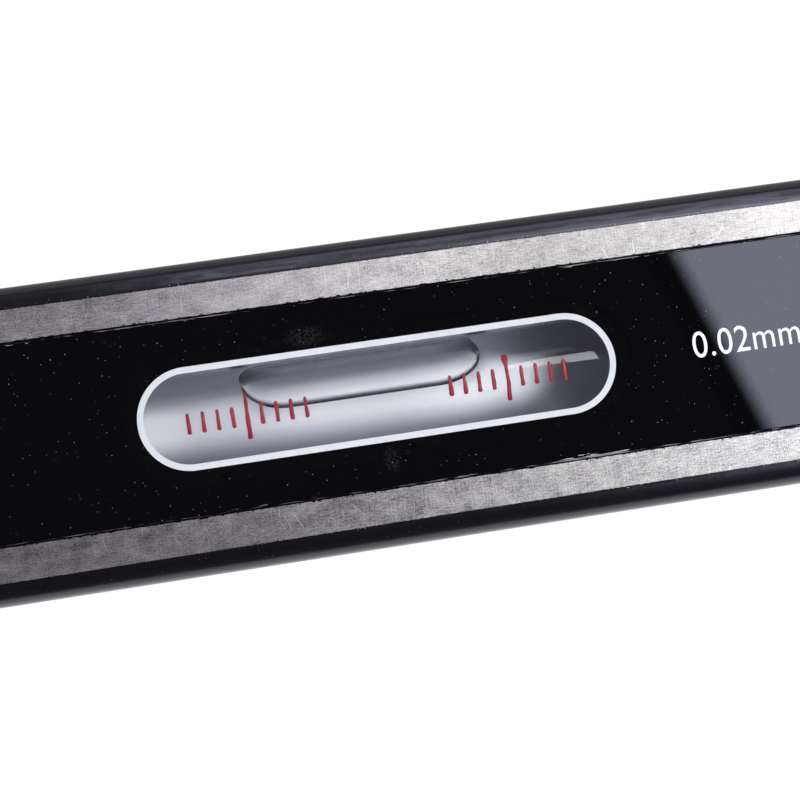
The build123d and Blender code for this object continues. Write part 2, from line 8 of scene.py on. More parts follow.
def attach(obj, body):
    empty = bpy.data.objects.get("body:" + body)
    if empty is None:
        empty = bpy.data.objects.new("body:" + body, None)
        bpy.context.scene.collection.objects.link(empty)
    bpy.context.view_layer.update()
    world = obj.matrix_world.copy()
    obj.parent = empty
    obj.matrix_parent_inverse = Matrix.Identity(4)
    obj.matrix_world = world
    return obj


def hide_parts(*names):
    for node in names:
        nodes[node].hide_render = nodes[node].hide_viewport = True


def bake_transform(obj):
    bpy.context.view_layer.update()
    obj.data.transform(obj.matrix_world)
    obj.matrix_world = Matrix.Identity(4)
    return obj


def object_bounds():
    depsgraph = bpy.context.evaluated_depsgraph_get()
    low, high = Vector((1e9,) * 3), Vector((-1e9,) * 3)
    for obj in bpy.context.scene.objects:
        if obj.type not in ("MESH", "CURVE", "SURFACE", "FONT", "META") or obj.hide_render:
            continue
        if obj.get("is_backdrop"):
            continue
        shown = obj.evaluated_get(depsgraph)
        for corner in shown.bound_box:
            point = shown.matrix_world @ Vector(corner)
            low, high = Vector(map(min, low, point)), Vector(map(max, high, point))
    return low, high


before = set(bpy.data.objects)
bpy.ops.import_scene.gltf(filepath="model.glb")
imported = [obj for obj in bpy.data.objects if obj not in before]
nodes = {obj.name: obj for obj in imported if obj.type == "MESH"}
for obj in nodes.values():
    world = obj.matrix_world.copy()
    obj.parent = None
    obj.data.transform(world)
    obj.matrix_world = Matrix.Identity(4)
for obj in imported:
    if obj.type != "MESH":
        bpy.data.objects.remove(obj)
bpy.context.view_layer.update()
MM = 0.001


# The bar
# One iron casting, sprayed with black gloss paint. The rails beside the cover, the base and its
# vee groove are ground bright afterwards, which leaves a ragged paint line along their edges.
class Reading:
    """One socket of a node tree. Arithmetic on it adds Math nodes, and make() adds any other node."""

    def __init__(self, tree, socket=None):
        self.tree = tree
        self.socket = socket

    def make(self, kind, settings=None, links=None, out=0):
        node = self.tree.nodes.new(kind)
        for key, value in (settings or {}).items():
            if key == "stops":
                stops = node.color_ramp.elements
                while len(stops) < len(value):
                    stops.new(1.0)
                for stop, (position, colour) in zip(stops, value):
                    stop.position = position
                    stop.color = (*colour, 1.0)
            else:
                setattr(node, key, value)
        for key, value in (links or {}).items():
            if isinstance(value, Reading):
                self.tree.links.new(value.socket, node.inputs[key])
            else:
                node.inputs[key].default_value = value
        return Reading(self.tree, node.outputs[out]) if node.outputs else None

    def math(self, operation, *values):
        return self.make("ShaderNodeMath", {"operation": operation}, dict(enumerate(values)))

    def __add__(self, other):
        return self.math("ADD", self, other)

    def __sub__(self, other):
        return self.math("SUBTRACT", self, other)

    def __rsub__(self, other):
        return self.math("SUBTRACT", other, self)

    def __mul__(self, other):
        return self.math("MULTIPLY", self, other)

    def __truediv__(self, other):
        return self.math("DIVIDE", self, other)

    def __rtruediv__(self, other):
        return self.math("DIVIDE", other, self)

    def __gt__(self, other):
        return self.math("GREATER_THAN", self, other)

    def __lt__(self, other):
        return self.math("LESS_THAN", self, other)

    def __abs__(self):
        return self.math("ABSOLUTE", self)

    __radd__ = __add__
    __rmul__ = __mul__

    def most(self, other):
        return self.math("MAXIMUM", self, other)

    def least(self, other):
        return self.math("MINIMUM", self, other)

    def apply(self, operation):
        return self.math(operation, self)

    def ease(self, low, high):
        """0 below low, 1 above high, smooth between; high may be below low."""
        limits = {"Value": self, "From Min": low, "From Max": high}
        return self.make("ShaderNodeMapRange", {"interpolation_type": "SMOOTHSTEP"}, limits)

    def split(self):
        parts = self.make("ShaderNodeSeparateXYZ", None, {0: self}).socket.node.outputs
        return [Reading(self.tree, part) for part in parts]

    def colour(self, low, high):
        """A colour that goes from low to high as this value goes from 0 to 1."""
        low, high = [c if isinstance(c, Reading) else (*c, 1.0) for c in (low, high)]
        return self.make("ShaderNodeMix", {"data_type": "RGBA"}, {0: self, 6: low, 7: high}, out=2)


def new_finish(name):
    """A new material with no nodes: (material, reading of the piece's own coordinates in metres)."""
    material = bpy.data.materials.new(name)
    material.use_nodes = True
    material.node_tree.nodes.clear()
    return material, Reading(material.node_tree).make("ShaderNodeTexCoord", out="Object")


def grain(at, across, along=None, turn=0.0, detail=2.0, shift=0.0):
    """Noise with grains of so many millimetres along X and Y, turned about Z."""
    along = along or across
    sizes = (1 / (across * MM), 1 / (along * MM), 1 / (min(across, along) * MM))
    rotated = at.make("ShaderNodeMapping", None, {"Vector": at, "Rotation": (0, 0, turn)})
    links = {"Vector": rotated, "Scale": sizes, "Location": (shift,) * 3}
    placed = at.make("ShaderNodeMapping", None, links)
    return at.make("ShaderNodeTexNoise", None, {"Vector": placed, "Scale": 1.0, "Detail": detail})


def skin(at, material, colour, roughness, height=None, more=None):
    """Ends a finish in one Principled shader. height is in millimetres, and more names other sockets."""
    links = {"Base Color": colour, "Roughness": roughness, **(more or {})}
    if height is not None:
        bump = {"Height": height, "Distance": MM, "Strength": 1.0}
        links["Normal"] = at.make("ShaderNodeBump", None, bump)
    shader = at.make("ShaderNodeBsdfPrincipled", None, links)
    at.make("ShaderNodeOutputMaterial", None, {"Surface": shader})
    return material


def dress(material, *names):
    """Puts a finish on CAD nodes that keep their own shape."""
    for name in names:
        for slot in nodes[name].material_slots:
            slot.material = material


RAIL_OUTER, RAIL_INNER, RAIL_FROM, SLOT_HALF = 17.8, 13.3, 43.3, 92.0
VEE_HALF, VEE_TO, BASE_TO, END_FACE = 11.15, 8.6, 0.12, 99.9
SLOT_LIP = 0.04
bar_finish, at = new_finish("bar_paint_and_ground_iron")
x, y, z = [part * 1000 for part in at.split()]
nicks = (grain(at, 0.35, detail=3) - 0.5) * 0.2 + grain(at, 2.2, shift=7).ease(0.62, 0.74) * 0.05
chips = grain(at, 0.24, detail=1, shift=19).ease(0.70, 0.75) * (abs(y) < RAIL_OUTER + 0.2)
rear, front = y > 0, y < 0
rail_edge = RAIL_OUTER - 0.2 + front * (0.3 - x.ease(-60, 45) * 0.22)
rail = (abs(y) + nicks < rail_edge).most(chips) * (z > RAIL_FROM)
notches = grain(at, 0.6, 0.3, detail=3, shift=21).ease(0.48, 0.8) * 0.3
inside_slot = (abs(y) < RAIL_INNER + SLOT_LIP + notches) * (abs(x) < SLOT_HALF + SLOT_LIP + notches)
rail = rail * (1 - inside_slot)
vee = (abs(y) < VEE_HALF + nicks * 0.5) * (z < VEE_TO) * (abs(x) < END_FACE)
ground = rail.most(z < BASE_TO).most(vee)

# The ground steel has the wheel's lines, finer lines across them, clouds and scratches.
speckle = grain(at, 0.2, detail=2)
wheel_lines = grain(at, 1.1, 0.17, detail=2)
cross_lines = grain(at, 0.12, 2.4, detail=2, shift=3)
clouds = grain(at, 3.2, 1.9, detail=3)
patches = grain(at, 9.0, 6.0, detail=1, shift=29).ease(0.5, 0.66)
scratches = grain(at, 0.07, 4.5, turn=0.06, detail=0, shift=11).ease(0.78, 0.86) * 0.6
for turn, shift in ((0.62, 17), (-0.35, 23), (1.1, 31)):
    lines = grain(at, 0.07, 3.6, turn=turn, detail=0, shift=shift).ease(0.78, 0.88)
    scratches = scratches.most(lines * patches)

# Each knock is a straight scratch: x and y of its middle, its length, and its turn from the Y axis.
REAR_KNOCKS = ((-24.6, 15.1, 2.9, 0.14), (-2.1, 15.5, 3.3, 0.13), (-37.4, 16.4, 1.4, 0.14),
               (-12.3, 16.4, 1.3, 0.15))
FRONT_KNOCKS = ((-38.9, -14.9, 2.2, -0.26), (-29.5, -16.0, 1.9, -0.49), (-14.9, -15.5, 3.0, -0.38),
                (-13.5, -15.5, 3.4, -0.47), (-15.6, -15.9, 1.6, -0.32), (-5.3, -15.5, 3.3, -0.69),
                (7.3, -16.7, 0.9, 0.01), (31.1, -16.2, 1.5, -0.93))
for left, back, length, turn in REAR_KNOCKS + FRONT_KNOCKS:
    off_x, off_y = x - left, y - back
    along = abs(off_x * math.sin(turn) + off_y * math.cos(turn)).ease(length * 0.5, length * 0.25)
    across = abs(off_x * math.cos(turn) - off_y * math.sin(turn)).ease(0.06, 0.015)
    scratches = scratches.most(along * across * (0.15 + speckle * 1.2))

# Some lengths of the rails are painted lighter and others darker, as painted highlight and painted shade.
rear_painted_highlight = rear * x.ease(-36, -22) * (1 - x.ease(-6, 24))
rear_painted_shade = rear * x.ease(12, 28) * (1 - x.ease(44, 60))
rails_painted_light_shade = rear_painted_highlight * 0.34 - rear_painted_shade * 0.17 - front * (1 - x.ease(-8, 22)) * 0.2
depth = 1.05 - rear * x.ease(5, 30) * 0.35 - front * (1 - x.ease(-20, 0)) * 0.25
tone = (speckle - 0.5) * 1.35 + (wheel_lines - 0.5) * 0.9 + (cross_lines - 0.5) * 0.5
tone = 0.5 + (tone + (clouds - 0.5) * 0.7) * depth
hue = x.ease(-35, 30)
dull = hue.colour((0.108, 0.099, 0.104), (0.108, 0.102, 0.098))
bright = hue.colour((0.660, 0.606, 0.634), (0.660, 0.633, 0.596))
steel = (tone + rails_painted_light_shade * 0.67).colour(dull, bright)
steel = (scratches * 0.7).colour(steel, (0.93, 0.92, 0.91))
steel_rough = 0.42 + (clouds - 0.5) * 0.16 + (speckle - 0.5) * 0.12 - scratches * 0.1
steel_height = (speckle - 0.5) * 0.004 + (wheel_lines - 0.5) * 0.003 - scratches * 0.003

# The paint follows the waves of the casting, and a wiped, greasy film with painted sheen lies on the
# shoulders.
peel = grain(at, 1.1, 1.6, detail=1, shift=5)
casting = grain(at, 5.5, 9.0, detail=2, shift=9)
specks = grain(at, 0.22, detail=0, shift=13).ease(0.84, 0.87)
shoulder = abs(y).ease(17.9, 18.15) * (1 - abs(y).ease(18.7, 19.6)) * (z > 40)
shoulder = shoulder * (1 - abs(x).ease(96.0, 99.0))
wiped_and_sheen = x.ease(-40, -26) * 0.16 + x.ease(-28, -22) * (1 - x.ease(-10, -4)) * 0.36
wiped_and_sheen = wiped_and_sheen + x.ease(22, 30) * 0.5
wiped_and_sheen = wiped_and_sheen + x.ease(2, 6) * (1 - x.ease(16, 20)) * y.ease(18.7, 19.0) * 0.4
streaks = 0.25 + grain(at, 6.0, 0.8, detail=5, shift=27).ease(0.44, 0.56) * 1.1
streaks = streaks + grain(at, 0.3, 2.0, detail=1, shift=35) * 0.4
# The film is lighter in patches along the rear shoulder and toward the front shoulder's right end, partly
# real film and partly painted sheen.
film_and_sheen = shoulder * (rear * wiped_and_sheen * streaks + front * x.ease(15, 45) * 0.1)
paint_rough = 0.24 + film_and_sheen * 0.3 + (casting - 0.5) * 0.16 + specks * 0.3
paint = film_and_sheen.colour((0.0070, 0.0071, 0.0096), (0.085, 0.084, 0.108))
paint = specks.colour(paint, (0.10, 0.10, 0.11))
paint_height = peel * 0.012 + casting * 0.035

colour = ground.colour(paint, steel)
rough = ground * steel_rough + (1 - ground) * paint_rough
height = ground * steel_height + (1 - ground) * paint_height
more = {"Metallic": ground, "Specular IOR Level": 0.5, "Specular Tint": (0.86, 0.86, 1.0, 1)}
skin(at, bar_finish, colour, rough, height, more)
dress(bar_finish, "body")


# The zero adjuster
# A brass bush, a steel screw with a knurled brass wheel, a lift nut in the vial's tongue, a keeper plate
# and a coil spring under the tongue. All are turned or milled and put in from above. The coil stands on
# the keeper, and here stays fixed when the tongue moves.
def metal(name, dark, light, roughness, size=0.5, stretch=1.0, bump=0.003):
    """A bright metal with fine tool marks and a cloudy tarnish."""
    material, at = new_finish(name)
    marks = grain(at, size * 0.3, size * 0.3 * stretch, detail=2)
    tarnish = grain(at, size * 9, detail=3, shift=4)
    tone = 0.5 + (marks - 0.5) * 0.7 + (tarnish - 0.5) * 0.8
    rough = roughness + (tarnish - 0.5) * 0.2 + (marks - 0.5) * 0.1
    return skin(at, material, tone.colour(dark, light), rough, marks * bump, {"Metallic": 1.0})


brass = metal("turned_brass", (0.45, 0.30, 0.11), (0.72, 0.52, 0.24), 0.30)
tool_steel = metal("hard_tool_steel", (0.26, 0.26, 0.27), (0.48, 0.48, 0.49), 0.34)
spring_steel = metal("blued_spring_wire", (0.10, 0.11, 0.14), (0.24, 0.25, 0.29), 0.36)
screw_steel = metal("screw_steel", (0.32, 0.32, 0.33), (0.54, 0.54, 0.54), 0.50, size=0.4)
dress(brass, "adjuster_bush", "adjuster_wheel", "lift_nut", "left_end_plug", "right_end_plug")
dress(tool_steel, "adjusting_screw", "adjuster_keeper")
coil_mesh = nodes["lift_spring"].data.copy()
coil_mesh.materials.clear()
coil_mesh.materials.append(spring_steel)
coil = bpy.data.objects.new("lift_spring_coil", coil_mesh)
bpy.context.scene.collection.objects.link(coil)
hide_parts("lift_spring")
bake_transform(coil)
dress(screw_steel, "keeper_screws")


# The pivot
# A steel block screwed to the floor of the pocket, with a pin across it that the vial's left plug
# turns on.
dress(tool_steel, "pivot_block", "pivot_pin")
dress(screw_steel, "pivot_screws")


# The vial's tube
# A nickel plated brass tube with a long slot in its top. A white card lies behind the glass, and a
# rubber pad holds the vial at each end.
nickel_tube = metal("plated_tube", (0.40, 0.38, 0.35), (0.66, 0.63, 0.59), 0.24)
dress(nickel_tube, "vial_tube")

AXIS = 32.0
card, at = new_finish("white_card")
x, y, z = [part * 1000 for part in at.split()]
fibres = grain(at, 0.5, 0.12, detail=3)

# The stripe and its faint glow stand for the light that the round vial gathers on the card.
under_bubble = x.ease(-19.0, -15.5) * (1 - x.ease(14.5, 17.5))
back_edge = (y - 0.9 + under_bubble * 1.2) / (1.9 + under_bubble - x.ease(17.5, 23.5) * 0.6)
stripe = (y - x.ease(14.0, 20.0) * 0.25).ease(-2.5, -0.2) * (1 - back_edge.ease(0.0, 1.0))
# The stripe fades out toward the right end as a painted shadow of the print.
stripe = stripe * (1 - (x - y * 0.6).ease(20.8, 27.2)) * (z < AXIS)
# The card is painted lighter at its back and its right end and darker at its lower edge, as painted light
# and painted shade.
card_base_and_painted_light = 0.27 + y.ease(2.0, 2.6) * (1 - x.ease(16.0, 24.0)) * 0.10 + y.ease(4.2, 6.2) * 0.17
card_base_and_painted_light = card_base_and_painted_light + x.ease(22.0, 26.0) * (1 - y.ease(0.8, 1.6)) * 0.12 - y.ease(-2.5, -3.2) * 0.17
# Beside the bubble's ends and high up the card is painted darker, as painted shade.
shade_by_bubble_ends = x.ease(-20.0, -18.8) * (1 - x.ease(-18.0, -16.5))
shade_by_bubble_ends = shade_by_bubble_ends + x.ease(13.0, 14.5) * (1 - x.ease(16.0, 17.5))
side = 1 - z.ease(29.6, 31.0) * shade_by_bubble_ends * 0.7 - z.ease(33.4, 33.8) * 0.15
shade = (0.92 + fibres * 0.16) * (card_base_and_painted_light + stripe * 0.62) * side
gathered = 0.17 + x.ease(-18.0, -8.0) * 0.10 + x.ease(2.0, 16.0) * 0.22
gathered = stripe * (gathered + (1 - x.ease(-31.0, -24.0)) * 0.13)
# The card's darker parts are tinted bluer, as painted shade.
tint = stripe.colour((0.905, 0.95, 1.15), (0.98, 0.995, 1.045))
skin(at, card, shade.colour((0, 0, 0), tint), 0.85, fibres * 0.01,
     {"Emission Color": gathered.colour((0, 0, 0), (0.97, 0.98, 1.02)), "Emission Strength": 1.0})

rubber, at = new_finish("pad_rubber")
bloom = grain(at, 1.5, detail=4)
black = bloom.colour((0.012, 0.012, 0.013), (0.035, 0.035, 0.036))
skin(at, rubber, black, 0.7 + (bloom - 0.5) * 0.3, bloom * 0.02)
dress(rubber, "vial_pads")


# The main vial
# A ground glass tube, fused shut at both ends and nearly filled with spirit. The bore is barrelled
# a little, so the bubble comes to rest at the top.
def lit_through(at, shader, tint=(1.0, 1.0, 1.0)):
    """Ends a clear finish. The eye sees the shader, and light goes straight through to what is below."""
    through = at.make("ShaderNodeBsdfTransparent", None, {"Color": (*tint, 1.0)})
    shadow = at.make("ShaderNodeLightPath", out="Is Shadow Ray")
    both = at.make("ShaderNodeMixShader", None, {0: shadow, 1: shader, 2: through})
    at.make("ShaderNodeOutputMaterial", None, {"Surface": both})


def clear(name, ior, tint):
    """A clear liquid with a faint swirl. ior is its index against what lies round it."""
    material, at = new_finish(name)
    swirl = grain(at, 9.0, 3.0, detail=2)
    links = {"Color": (*tint, 1.0), "Roughness": swirl * 0.002, "IOR": ior}
    lit_through(at, at.make("ShaderNodeBsdfGlass", None, links))
    return material


GLASS, SPIRIT = 1.47, 1.36
vial_glass, at = new_finish("vial_glass")
drawn = grain(at, 14.0, 0.6, detail=2)
links = {"Base Color": drawn.colour((0.97, 0.98, 0.98), (1.0, 1.0, 1.0)), "Roughness": 0.0, "IOR": GLASS,
         "Transmission Weight": 1.0}
lit_through(at, at.make("ShaderNodeBsdfPrincipled", None, links))
wet_wall = clear("wetted_wall", 1.0, (1.0, 1.0, 1.0))
spirit_clear = clear("spirit", SPIRIT / GLASS, (0.985, 0.985, 0.99))


def add_piece(name, mesh, body, slot, *materials, stands_for=()):
    """Links a finished mesh as a piece that rides on a body."""
    for material in materials:
        mesh.materials.append(material)
    piece = bpy.data.objects.new(name, mesh)
    bpy.context.scene.collection.objects.link(piece)
    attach(piece, body)
    if stands_for:
        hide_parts(*stands_for)
    return piece


def surface(name, rings, closed_along=False, ends=False):
    """A smooth mesh through rings of points. A ring of one point is a pole, and ends fills open ends."""
    shape = bmesh.new()
    made = [[shape.verts.new(point) for point in ring] for ring in rings]
    if ends:
        shape.faces.new(made[0])
        shape.faces.new(made[-1])
    following = made[1:] + (made[:1] if closed_along else [])
    for one, two in zip(made, following):
        for k in range(max(len(one), len(two))):
            corners = [one[k % len(one)], one[(k + 1) % len(one)],
                       two[(k + 1) % len(two)], two[k % len(two)]]
            unique = list(dict.fromkeys(corners))
            if len(unique) > 2:
                shape.faces.new(unique)
    bmesh.ops.recalc_face_normals(shape, faces=shape.faces)
    for face in shape.faces:
        face.smooth = True
    mesh = bpy.data.meshes.new(name)
    shape.to_mesh(mesh)
    shape.free()
    mesh.set_sharp_from_angle(angle=math.radians(40))
    return mesh


def turned(name, profile, axis_height, steps=160, closed=False):
    """A mesh of revolution about a line along X, from (x, radius) pairs in millimetres."""
    rings = []
    for along, radius in profile:
        if radius == 0:
            rings.append([(along * MM, 0, axis_height * MM)])
            continue
        ring = []
        for k in range(steps):
            a = 2 * math.pi * k / steps
            up = axis_height + radius * math.cos(a)
            ring.append((along * MM, radius * MM * math.sin(a), up * MM))
        rings.append(ring)
    return surface(name, rings, closed)


def glass_tube(name, half, radius, bore, axis_height, lip=0.4):
    """An open glass tube with rounded lips. Its bore has the second material."""
    profile = []
    for side in (-1, 1):
        lips = [(half - 2 * lip, bore), (half - lip, bore), (half - lip * 0.3, bore + lip * 0.15),
                (half, bore + lip), (half, radius - lip), (half - lip * 0.3, radius - lip * 0.3),
                (half - lip, radius), (half - 2 * lip, radius)]
        lips = lips if side < 0 else lips[::-1]
        profile += [(side * along, r) for along, r in lips]
    mesh = turned(name, profile, axis_height, closed=True)
    for face in mesh.polygons:
        out = math.hypot(face.center.y / MM, face.center.z / MM - axis_height)
        face.material_index = 1 if out < bore + 0.1 else 0
    return mesh


SPIRIT_OVERLAP, SPIRIT_BEVEL = 0.02, 0.05


def spirit_fill(name, half, bore, axis_height):
    """The spirit in a bore. It reaches a little into the glass, so no air is left between them."""
    end, radius = half + SPIRIT_OVERLAP, bore + SPIRIT_OVERLAP
    profile = [(-end, 0), (-end, radius - SPIRIT_BEVEL), (-end + SPIRIT_BEVEL, radius),
               (end - SPIRIT_BEVEL, radius), (end, radius - SPIRIT_BEVEL), (end, 0)]
    return turned(name, profile, axis_height)


VIAL_R, BORE_R, VIAL_HALF, SPIRIT_HALF = 7.0, 5.6, 39.0, 36.0
tube_mesh = glass_tube("main_vial_tube", VIAL_HALF, VIAL_R, BORE_R, AXIS)
add_piece("main_vial_tube", tube_mesh, "vial_carriage", "vial_glass", vial_glass, wet_wall,
          stands_for=("main_vial",))
spirit_mesh = spirit_fill("main_vial_spirit", SPIRIT_HALF, BORE_R, AXIS)
add_piece("main_vial_spirit", spirit_mesh, "vial_carriage", "spirit", spirit_clear,
          stands_for=("main_spirit",))
dress(vial_glass, "main_vial_seals", "cross_vial_seals")

# The white card is pressed against the back of the glass, so no air is left between them.
CARD_HALF, CARD_IN, CARD_OUT = 34.85, VIAL_R - 0.015, 7.5
CARD_TURN, CARD_STEPS = math.radians(110), 96
card_corners = ((-CARD_HALF, CARD_IN), (CARD_HALF, CARD_IN),
                (CARD_HALF, CARD_OUT), (-CARD_HALF, CARD_OUT))
card_rings = []
for k in range(CARD_STEPS + 1):
    a = math.pi - CARD_TURN + 2 * CARD_TURN * k / CARD_STEPS
    back, up = math.sin(a), math.cos(a)
    card_rings.append([(s * MM, r * back * MM, (AXIS + r * up) * MM) for s, r in card_corners])
card_mesh = surface("vial_white_card", card_rings, ends=True)
add_piece("vial_white_card", card_mesh, "vial_carriage", "white_card", card, stands_for=("vial_liner",))


# The bubbles
# Pockets of vapour against the top of each bore, a little hollow below and with a round rim. The gas
# bends light less than true vapour, so no hard line crosses a bubble. The rim is painted dark as painted
# shade, most at the ends.
TOP_STEPS, RIM_STEPS, FLOOR_STEPS = 16, 24, 14


def out_at(angle, radius):
    """A point so far from the bore's middle, at an angle from straight up toward the back."""
    return Vector((radius * math.sin(angle), radius * math.cos(angle)))


def pocket(top_r, low, high, rim, bulge):
    """The section of a bubble that reaches from one angle round the bore to another, in millimetres."""
    lean = math.asin(rim / (top_r - rim))
    near, far = low + lean, high - lean
    floor = (low + high) / 2 + math.pi
    near_rim, far_rim = out_at(near, top_r - rim), out_at(far, top_r - rim)
    points = [out_at(near + (far - near) * k / TOP_STEPS, top_r) for k in range(TOP_STEPS + 1)]
    points += [far_rim + out_at(far + (floor - far) * k / RIM_STEPS, rim)
               for k in range(1, RIM_STEPS + 1)]
    for k in range(1, FLOOR_STEPS):
        flat_floor = far_rim.lerp(near_rim, k / FLOOR_STEPS) + out_at(floor, rim)
        points.append(flat_floor - out_at(floor, bulge * math.sin(math.pi * k / FLOOR_STEPS)))
    back = near + 2 * math.pi - floor
    points += [near_rim + out_at(floor + back * k / RIM_STEPS, rim) for k in range(RIM_STEPS)]
    return points


# How much of the rim each point of a section is: 0 on the top and the floor, 1 on the rim's middle.
RIM_ARC = [math.sin(math.pi * k / RIM_STEPS) for k in range(RIM_STEPS + 1)]
RIM_SHARES = [0.0] * (TOP_STEPS + 1) + RIM_ARC[1:] + [0.0] * (FLOOR_STEPS - 1) + RIM_ARC[:-1]
RIM_LEAST, VAPOUR = 0.15, 0.82


def bubble(name, ends, edges, tips, caps, rim, top_r, axis_height, rim_reach, along=150):
    """Sections from end to end. edges are the angles of the two long sides and tips those of the two
    ends, in degrees. caps gives, for each end, how far from it each side still curves in, and rim_reach
    how far from an end the rim is darkened, in millimetres."""
    left, right = ends
    half = (right - left) / 2
    rings, rim_shares = [], []
    for k in range(along + 1):
        s = half * math.sin((k / along - 0.5) * math.pi)
        tip, cap = (tips[0], caps[0]) if s < 0 else (tips[1], caps[1])
        sides = []
        for edge, reach in zip(edges, cap):
            inward = max(0.0, 1 - (half - abs(s)) / reach)
            sides.append(math.radians(tip + (edge - tip) * math.sqrt(1 - inward ** 2)))
        half_width = top_r * (sides[1] - sides[0]) / 2
        if k in (0, along):
            section = [out_at(math.radians(tip), top_r - 0.02)]
        else:
            section = pocket(top_r, *sides, min(rim, 0.45 * half_width), min(0.34, 0.08 * half_width))
        at_x = (left + half + s) * MM
        rings.append([(at_x, across * MM, (axis_height + up) * MM) for across, up in section])
        end_share = max(RIM_LEAST, 1 - (half - abs(s)) / rim_reach)
        rim_shares += [end_share * share for share in (RIM_SHARES if len(section) > 1 else [1.0])]
    mesh = surface(name, rings)
    mesh.attributes.new("rim", "FLOAT", "POINT").data.foreach_set("value", rim_shares)
    return mesh


bubble_gas, at = new_finish("bubble_gas")
swirl = grain(at, 9.0, 3.0, detail=2)
rim_share = at.make("ShaderNodeAttribute", {"attribute_name": "rim"}, out="Fac")
# The glass colour darkens along the rim, most at the bubble's ends, as painted shade.
rim_painted_shade = rim_share.colour((1.0, 1.0, 1.0), (0.16, 0.16, 0.18))
links = {"Color": rim_painted_shade, "Roughness": swirl * 0.36, "IOR": VAPOUR}
lit_through(at, at.make("ShaderNodeBsdfGlass", None, links))

main_gas = bubble("main_bubble_gas", ends=(-18.45, 14.95), edges=(-1.0, 98.5), tips=(51.0, 40.0),
                  caps=((6.2, 5.5), (6.2, 3.0)), rim=0.8, top_r=5.5, axis_height=AXIS, rim_reach=7.5)
add_piece("main_bubble_gas", main_gas, "main_bubble", "bubble", bubble_gas, stands_for=("main_bubble",))


# The red marks
# Two groups of nine strokes of red enamel, laid on the glass by hand across the top of the vial,
# with a longer stroke in the middle of each group.
red_enamel, at = new_finish("red_enamel")
pooling = grain(at, 0.35, 0.8, detail=2)
skin(at, red_enamel, pooling.ease(0.25, 0.75).colour((0.25, 0.0115, 0.023), (0.40, 0.017, 0.034)),
     0.38 + (pooling - 0.5) * 0.2, pooling * 0.03, {"Coat Weight": 0.1})


def new_tree(name, numbers, materials=()):
    """A Geometry Nodes tree with named inputs: (tree, reading of each input, identifiers)."""
    tree = bpy.data.node_groups.new(name, "GeometryNodeTree")
    tree.interface.new_socket("Geometry", in_out="OUTPUT", socket_type="NodeSocketGeometry")
    identifiers = {}
    kinds = dict.fromkeys(numbers, "NodeSocketFloat") | dict.fromkeys(materials, "NodeSocketMaterial")
    for key, kind in kinds.items():
        identifiers[key] = tree.interface.new_socket(key, in_out="INPUT", socket_type=kind).identifier
    entry = tree.nodes.new("NodeGroupInput")
    return tree, {key: Reading(tree, entry.outputs[key]) for key in identifiers}, identifiers


def grown(name, tree, identifiers, values):
    """The mesh that a tree gives for these inputs."""
    seed_mesh = bpy.data.meshes.new(name)
    holder = bpy.data.objects.new(name + "_source", seed_mesh)
    bpy.context.scene.collection.objects.link(holder)
    modifier = holder.modifiers.new("strokes", "NODES")
    modifier.node_group = tree
    for key, value in values.items():
        modifier[identifiers[key]] = value
    ready = holder.evaluated_get(bpy.context.evaluated_depsgraph_get())
    mesh = bpy.data.meshes.new_from_object(ready)
    holder.modifiers.clear()
    bpy.data.objects.remove(holder)
    mesh.name = name
    return mesh


stroke_inputs = ("Pitch", "Group offset", "Marks in a group", "Groups", "Short", "Long", "Width",
                 "Height", "Glass radius", "Axis height", "Roll", "Wobble", "Seed", "Blob mark")
stroke_tree, g, stroke_ids = new_tree("painted_strokes", stroke_inputs, ("Enamel",))
start = Reading(stroke_tree)
index = start.make("GeometryNodeInputIndex")
group = ((index + 0.5) / g["Marks in a group"]).apply("FLOOR")
place = index - group * g["Marks in a group"]
from_middle = place - (g["Marks in a group"] - 1) * 0.5
long_one = 1 - abs(from_middle).least(1.0)
centre = from_middle * g["Pitch"] + (group * 2 - (g["Groups"] - 1)) * g["Group offset"]
half_length = (g["Short"] + (g["Long"] - g["Short"]) * long_one) * 0.5
points = start.make("GeometryNodePoints", None, {"Count": g["Marks in a group"] * g["Groups"]})


def keep(geometry, name, value):
    settings = {"data_type": "FLOAT", "domain": "POINT"}
    links = {"Geometry": geometry, "Name": name, "Value": value}
    return start.make("GeometryNodeStoreNamedAttribute", settings, links)


def kept(name):
    return start.make("GeometryNodeInputNamedAttribute", {"data_type": "FLOAT"}, {"Name": name})


points = keep(points, "centre", centre)
points = keep(points, "half_length", half_length)
points = keep(points, "mark", index)
rod_sizes = {"Vertices": 12, "Side Segments": 26, "Radius": 1.0, "Depth": 2.0}
rod = start.make("GeometryNodeMeshCylinder", {"fill_type": "TRIANGLE_FAN"}, rod_sizes)
side_x, side_h, rod_z = start.make("GeometryNodeInputPosition").split()
rod = keep(rod, "side", side_x)
rod = keep(rod, "up", side_h)
rod = keep(rod, "along", (rod_z * (math.pi / 2)).apply("SINE"))
strokes = start.make("GeometryNodeInstanceOnPoints", None, {"Points": points, "Instance": rod})
strokes = start.make("GeometryNodeRealizeInstances", None, {"Geometry": strokes})
along, mark, half = kept("along"), kept("mark"), kept("half_length")
straight = 1 - g["Width"] * 0.5 / half
bend_in = (abs(along) - straight).most(0.0) / (1 - straight)
round_end = (1 - bend_in * bend_in).most(0.0006).apply("SQRT")


def by_hand(per_metre, per_mark, seed, detail):
    """Noise from -0.5 to 0.5 along a stroke, different from mark to mark."""
    spot = {"X": along * half * per_metre, "Y": mark * per_mark, "Z": seed}
    vector = start.make("ShaderNodeCombineXYZ", None, spot)
    links = {"Vector": vector, "Scale": 1.0, "Detail": detail}
    return start.make("ShaderNodeTexNoise", None, links) - 0.5


